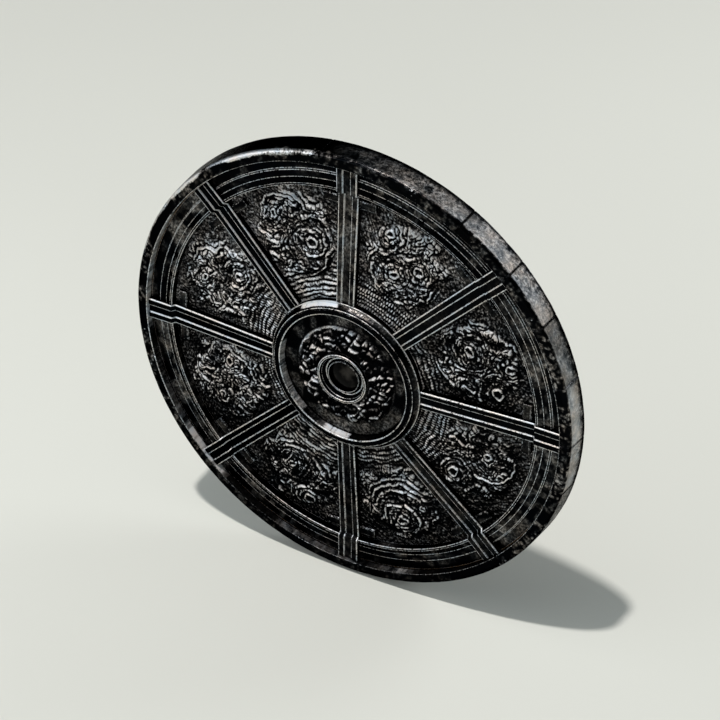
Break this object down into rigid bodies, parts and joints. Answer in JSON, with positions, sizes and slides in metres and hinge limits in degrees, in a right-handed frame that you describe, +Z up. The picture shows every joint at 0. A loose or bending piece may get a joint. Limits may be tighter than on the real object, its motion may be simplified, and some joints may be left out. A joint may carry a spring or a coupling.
{
  "type": "round shield",
  "caption": "Dished round parade shield with a ringed boss, radial ribs, embossed panels and a deep iron rim; a padded, strapped and gripped board behind.",
  "frame": {"origin": "middle of the forearm pad's rear face, on the shield's axis", "axes": "+X towards the arm strap, the right-hand side as seen from the front; +Y backwards, along the shield's axis towards the bearer, so the decorated face looks along -Y; +Z up"},
  "size_m": [0.6, 0.1279, 0.6],
  "materials": {
    "rim_iron": "blackened iron sheet, planished and rubbed bright on the edges",
    "black_iron": "blackened and polished iron",
    "embossed_iron": "embossed and chased iron sheet, blackened, bright on the high spots",
    "eye_polish": "mirror polished, almost black",
    "fittings_iron": "forged, filed and oiled",
    "board_wood": "planed poplar planks, oiled",
    "hoop_ash": "steam-bent ash, oiled",
    "grip_wood": "turned ash, waxed",
    "strap_leather": "vegetable-tanned strap leather, waxed edges",
    "pad_leather": "soft stuffed leather, stitched and nailed at the hem",
    "brass": "domed nails, dulled"
  },
  "bodies": {
    "root": {"rim_plate_01": "rim_iron", "rim_plate_02": "rim_iron", "rim_plate_03": "rim_iron", "rim_plate_04": "rim_iron", "rim_plate_05": "rim_iron", "rim_plate_06": "rim_iron", "rim_plate_07": "rim_iron", "rim_plate_08": "rim_iron", "rim_plate_09": "rim_iron", "rim_plate_10": "rim_iron", "rim_plate_11": "rim_iron", "rim_plate_12": "rim_iron", "rim_plate_13": "rim_iron", "rim_plate_14": "rim_iron", "rim_pins": "fittings_iron", "hoop_half_1": "hoop_ash", "hoop_half_2": "hoop_ash", "cornice_ring": "black_iron", "panel_1": "embossed_iron", "panel_2": "embossed_iron", "panel_3": "embossed_iron", "panel_4": "embossed_iron", "panel_5": "embossed_iron", "panel_6": "embossed_iron", "panel_7": "embossed_iron", "panel_8": "embossed_iron", "rib_1": "black_iron", "rib_2": "black_iron", "rib_3": "black_iron", "rib_4": "black_iron", "rib_5": "black_iron", "rib_6": "black_iron", "rib_7": "black_iron", "rib_8": "black_iron", "rib_cleats": "black_iron", "stud_roves": "fittings_iron", "hub_ring": "black_iron", "boss_plate": "embossed_iron", "eye_collar": "black_iron", "eye_disc": "eye_polish", "eye_seat": "board_wood", "board_plank_1": "board_wood", "board_plank_2": "board_wood", "board_plank_3": "board_wood", "board_plank_4": "board_wood", "board_plank_5": "board_wood", "arm_pad": "pad_leather", "pad_nails": "brass", "arm_strap": "strap_leather", "buckle_chape": "strap_leather", "strap_keeper": "strap_leather", "buckle_frame": "fittings_iron", "back_rivets": "fittings_iron", "grip_brackets": "fittings_iron", "grip_rod": "fittings_iron", "ring_staples": "fittings_iron", "hand_grip": "grip_wood"},
    "ring_left": {"carry_ring_left": "fittings_iron"},
    "ring_right": {"carry_ring_right": "fittings_iron"},
    "tongue": {"buckle_tongue": "fittings_iron"}
  },
  "joints": [
    {"name": "carry_ring_left_swing", "type": "hinge", "parent": "root", "child": "ring_left", "pos_m": [0.157, -0.00989, 0.118], "axis": [1, 0, 0], "range_deg": [0, 150]},
    {"name": "carry_ring_right_swing", "type": "hinge", "parent": "root", "child": "ring_right", "pos_m": [-0.157, -0.00989, 0.118], "axis": [1, 0, 0], "range_deg": [0, 150]},
    {"name": "buckle_tongue_swing", "type": "hinge", "parent": "root", "child": "tongue", "pos_m": [0.086, 0.06289, 0.014], "axis": [1, 0, 0], "range_deg": [0, 40]}
  ]
}
